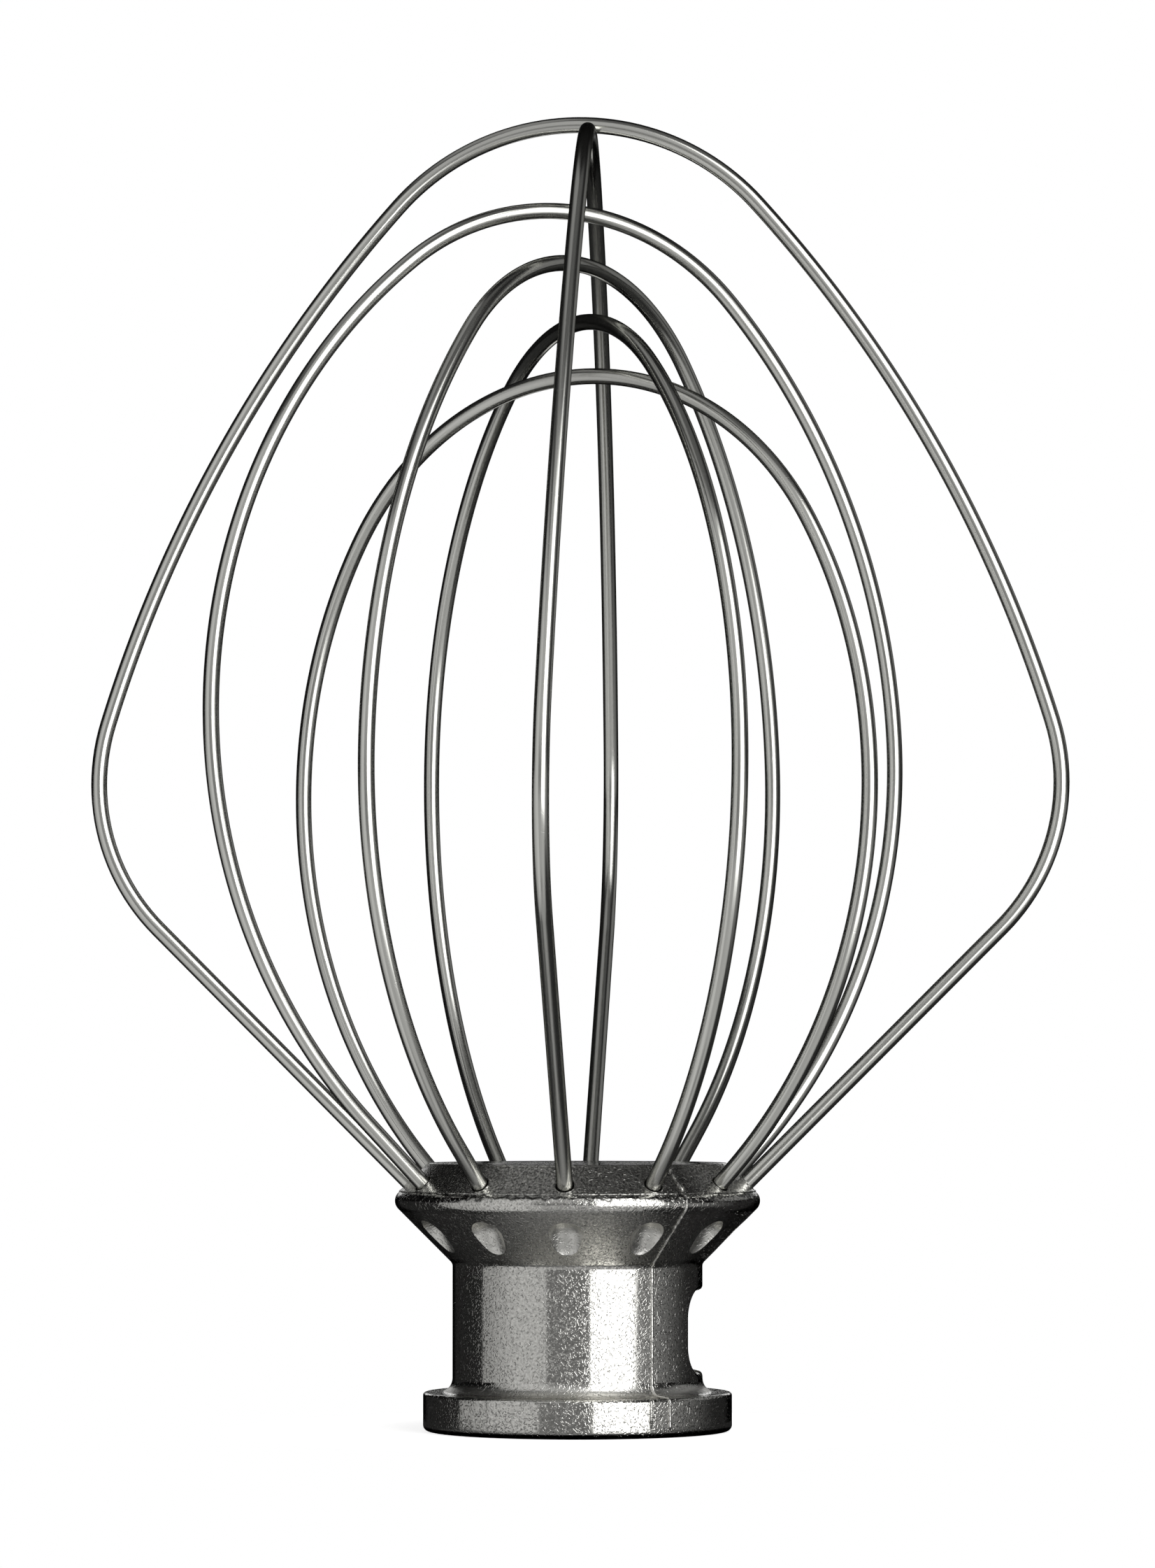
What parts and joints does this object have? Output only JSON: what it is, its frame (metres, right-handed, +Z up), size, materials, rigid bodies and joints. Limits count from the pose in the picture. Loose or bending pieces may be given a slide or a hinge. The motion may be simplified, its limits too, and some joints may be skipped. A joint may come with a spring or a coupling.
{
  "type": "stand mixer wire whisk",
  "caption": "Balloon whisk for a stand mixer: bent steel wire loops nested and staked into a flared cast hub with a bayonet drive socket.",
  "frame": {"origin": "centre of the flange's underside, on the axis of the drive socket", "axes": "+Z up the axis from the socket's mouth to the crown of the loops; X and Y along the planes of the two wide loops"},
  "size_m": [0.1276, 0.1277, 0.1711],
  "materials": {
    "hub_casting": "burnished",
    "wire_steel": "polished"
  },
  "bodies": {
    "root": {"hub": "hub_casting", "outer_wire_a": "wire_steel", "outer_wire_b": "wire_steel", "inner_wire_1": "wire_steel", "inner_wire_2": "wire_steel", "inner_wire_3": "wire_steel", "inner_wire_4": "wire_steel"}
  },
  "joints": []
}
